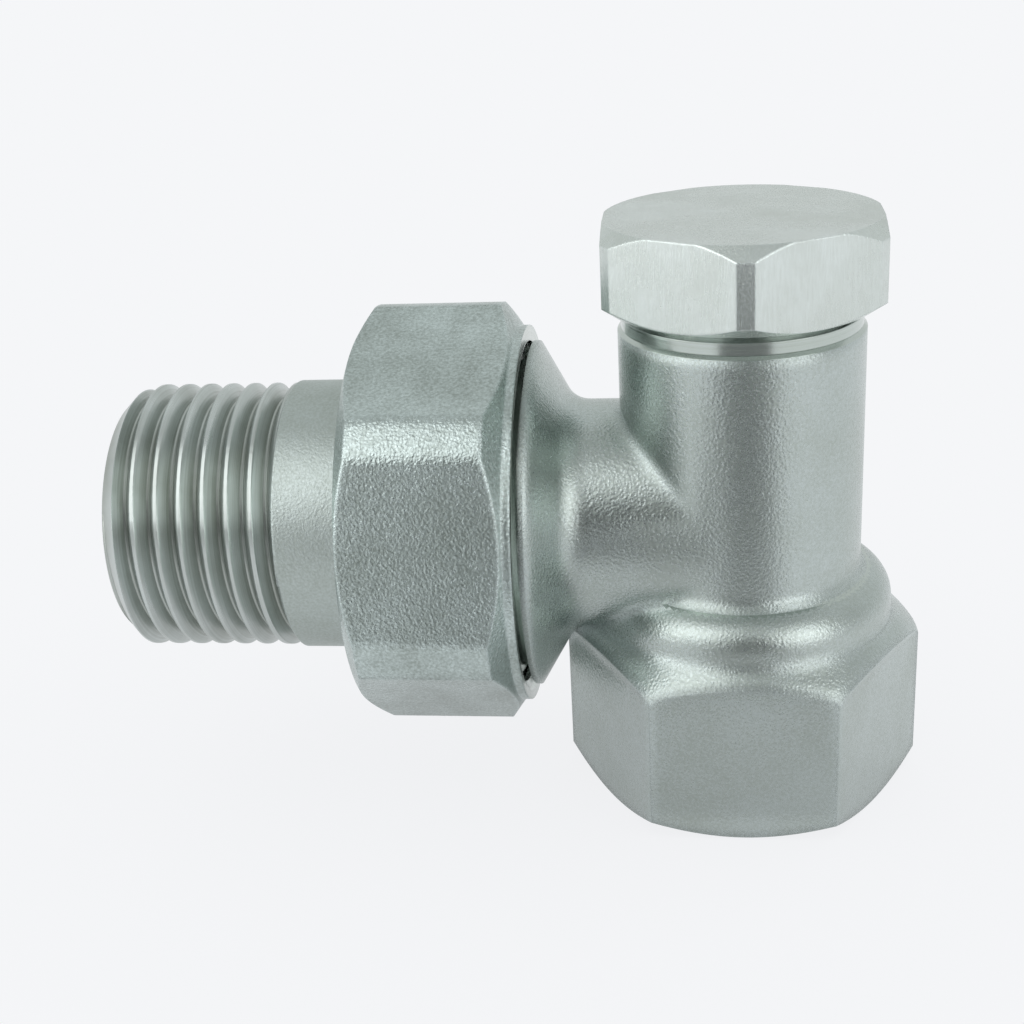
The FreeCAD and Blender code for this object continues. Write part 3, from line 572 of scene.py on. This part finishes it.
# %% Pale floor
PALE = (0.913, 0.922, 0.939, 1.0)
MATTE = (0.78, 0.79, 0.80, 1.0)
SHELTER_REACH = 0.045
SHADOW_MIRRORED, SHADOW_SEEN = 0.52, 0.92
bpy.ops.mesh.primitive_circle_add(vertices=96, radius=2.0, fill_type="NGON",
                                  location=(-0.0166, 0, -0.00005))
floor = bpy.context.object
floor.name = "pale_floor"
floor_look = bpy.data.materials.new("pale_floor")
floor_look.use_nodes = True
tree = floor_look.node_tree
tree.nodes.remove(tree.nodes["Principled BSDF"])
# Painted shadow: an occlusion node dims the floor's glow near the valve, faintly for the camera and more
# deeply in reflections.
shelter = add(tree, "ShaderNodeAmbientOcclusion", [("Distance", SHELTER_REACH)], samples=12)
ray = add(tree, "ShaderNodeLightPath")
faintness = spread_out(tree, ray.outputs["Is Camera Ray"], 0.0, 1.0, SHADOW_MIRRORED, SHADOW_SEEN)
shade = spread_out(tree, shelter.outputs["AO"], 0.0, 1.0, faintness, 1.0)
glow = add(tree, "ShaderNodeEmission", [("Color", PALE), ("Strength", shade)])
matte = add(tree, "ShaderNodeBsdfDiffuse", [("Color", MATTE)])
looks = maths(tree, "MAXIMUM", ray.outputs["Is Camera Ray"],
              maths(tree, "MAXIMUM", ray.outputs["Is Glossy Ray"], ray.outputs["Is Transmission Ray"]))
seen = add(tree, "ShaderNodeMixShader", [(0, looks), (1, matte.outputs[0]), (2, glow.outputs[0])])
under = add(tree, "ShaderNodeNewGeometry").outputs["Backfacing"]
clear = add(tree, "ShaderNodeBsdfTransparent")
both = add(tree, "ShaderNodeMixShader", [(0, under), (1, seen.outputs[0]), (2, clear.outputs[0])])
tree.links.new(both.outputs[0], tree.nodes["Material Output"].inputs["Surface"])
floor.data.materials.append(floor_look)
print("floor", floor.name)

# %% [markdown]
# Polished metal shows what stands around it. In the photograph the surfaces that mirror the place of
# the camera are the darkest, and those turned to the sides are bright. So a dark card lies in front,
# seen only in reflections, and the world has a dim patch above it. Towards the back the world grows
# lighter.

# %% Dark card
CARD = [(-0.010, -0.014, 0.0006), (0.016, -0.014, 0.0006),
        (0.105, -0.235, 0.0006), (-0.085, -0.235, 0.0006)]
CARD_COLOUR = (0.05, 0.055, 0.055, 1.0)
FADE_FAR, FADE_NEAR = -0.075, -0.035
COVER_FAR, COVER_NEAR = 0.86, 0.22
card = new_piece("dark_card", CARD, [(3, 2, 1, 0)])
card_look = bpy.data.materials.new("dark_card")
card_look.use_nodes = True
tree = card_look.node_tree
paint = tree.nodes["Principled BSDF"].inputs
paint["Base Color"].default_value = CARD_COLOUR
paint["Roughness"].default_value = 0.9
reach = add(tree, "ShaderNodeSeparateXYZ", [(0, add(tree, "ShaderNodeTexCoord").outputs["Object"])])
cover = spread_out(tree, reach.outputs["Y"], FADE_FAR, FADE_NEAR, COVER_FAR, COVER_NEAR)
tree.links.new(cover, paint["Alpha"])
card.data.materials.append(card_look)
card.visible_camera = False
card.visible_diffuse = False
card.visible_shadow = False
print("card", card.name)

# %% World with a dim patch
ROOM = (0.97, 1.0, 1.0, 1.0)
ROOM_FRONT, ROOM_BACK = 0.58, 0.78
DIM_AZIMUTH = math.radians(16)
DIM_RISE = 0.07
DIM_WAY = Vector((math.sin(DIM_AZIMUTH), -math.cos(DIM_AZIMUTH), DIM_RISE)).normalized()
DIM_RIM, DIM_HEART = math.cos(math.radians(41)), math.cos(math.radians(23))
DIM_LEVEL = 0.12
world = bpy.data.worlds.new("studio")
bpy.context.scene.world = world
world.use_nodes = True
tree = world.node_tree
ray = add(tree, "ShaderNodeLightPath")
aim = add(tree, "ShaderNodeTexCoord").outputs["Generated"]
side = add(tree, "ShaderNodeSeparateXYZ", [(0, aim)])
lighter = spread_out(tree, side.outputs["Y"], 0.0, 0.45, ROOM_FRONT, ROOM_BACK)
nearness = add(tree, "ShaderNodeVectorMath", [(0, aim), (1, DIM_WAY)],
               operation="DOT_PRODUCT").outputs["Value"]
dim = spread_out(tree, nearness, DIM_RIM, DIM_HEART, 1.0, DIM_LEVEL)
room = add(tree, "ShaderNodeBackground", [("Color", ROOM),
                                          ("Strength", maths(tree, "MULTIPLY", lighter, dim))])
page = add(tree, "ShaderNodeBackground", [("Color", PALE), ("Strength", 1.0)])
mix = add(tree, "ShaderNodeMixShader", [(0, ray.outputs["Is Camera Ray"]), (1, room.outputs[0]),
                                        (2, page.outputs[0])])
tree.links.new(mix.outputs[0], tree.nodes["World Output"].inputs["Surface"])
print("world", world.name)

# %% [markdown]
# Three soft boxes do the lighting: a tall one in front on the left, which draws the bright band along
# the tail and the bright corner of the nut, and wide ones on both sides for the cap's faces and the
# flanks of the neck.

# %% Soft boxes
MIDDLE = (-0.016, 0.0, 0.022)


def soft_box(name, at, width, height, radiance):
    lamp = bpy.data.lights.new(name, "AREA")
    lamp.shape = "RECTANGLE"
    lamp.size = width
    lamp.size_y = height
    lamp.energy = radiance * math.pi * width * height
    box = bpy.data.objects.new(name, lamp)
    bpy.context.scene.collection.objects.link(box)
    box.location = at
    box.visible_camera = False
    box.rotation_euler = (Vector(MIDDLE) - Vector(at)).to_track_quat("-Z", "Y").to_euler()
    print(name, "radiance", radiance, "energy", round(lamp.energy, 4))


soft_box("front_box", (-0.160, -0.175, 0.202), width=0.25, height=0.30, radiance=1.3)
soft_box("left_box", (-0.32, -0.10, 0.07), width=0.22, height=0.18, radiance=1.6)
soft_box("right_box", (0.225, -0.215, 0.15), width=0.24, height=0.24, radiance=1.8)

# %% [markdown]
# ## Camera
# The camera was found by fitting the solids' outline to the photograph: it stands in front, a little
# to the right, looks down by 22 degrees, and is tilted by a few degrees.

# %% Place the camera
TARGET = Vector((-17.9, 0, 21.99))
DISTANCE = 126.81
AZIMUTH, ELEVATION, TILT = (math.radians(angle) for angle in (7.88, 22.33, -3.3))
back = Vector((math.sin(AZIMUTH) * math.cos(ELEVATION), -math.cos(AZIMUTH) * math.cos(ELEVATION),
               math.sin(ELEVATION)))
right = (-back).cross(Vector((0, 0, 1))).normalized()
up = right.cross(-back)
tilted_right = math.cos(TILT) * right + math.sin(TILT) * up
tilted_up = math.cos(TILT) * up - math.sin(TILT) * right
lens = bpy.data.cameras.new("camera")
lens.lens = 56.5
lens.sensor_width = 36
lens.clip_start = 0.005
lens.clip_end = 20
camera = bpy.data.objects.new("camera", lens)
bpy.context.scene.collection.objects.link(camera)
spot = TARGET * MM + back * DISTANCE * MM
camera.matrix_world = Matrix([(*row, place) for row, place in zip(
    zip(tilted_right, tilted_up, back), spot)] + [(0, 0, 0, 1)])
bpy.context.scene.camera = camera
bpy.context.scene.view_settings.view_transform = "Standard"
print("camera at mm", [round(c * 1000, 1) for c in spot], "lens", round(lens.lens, 1))
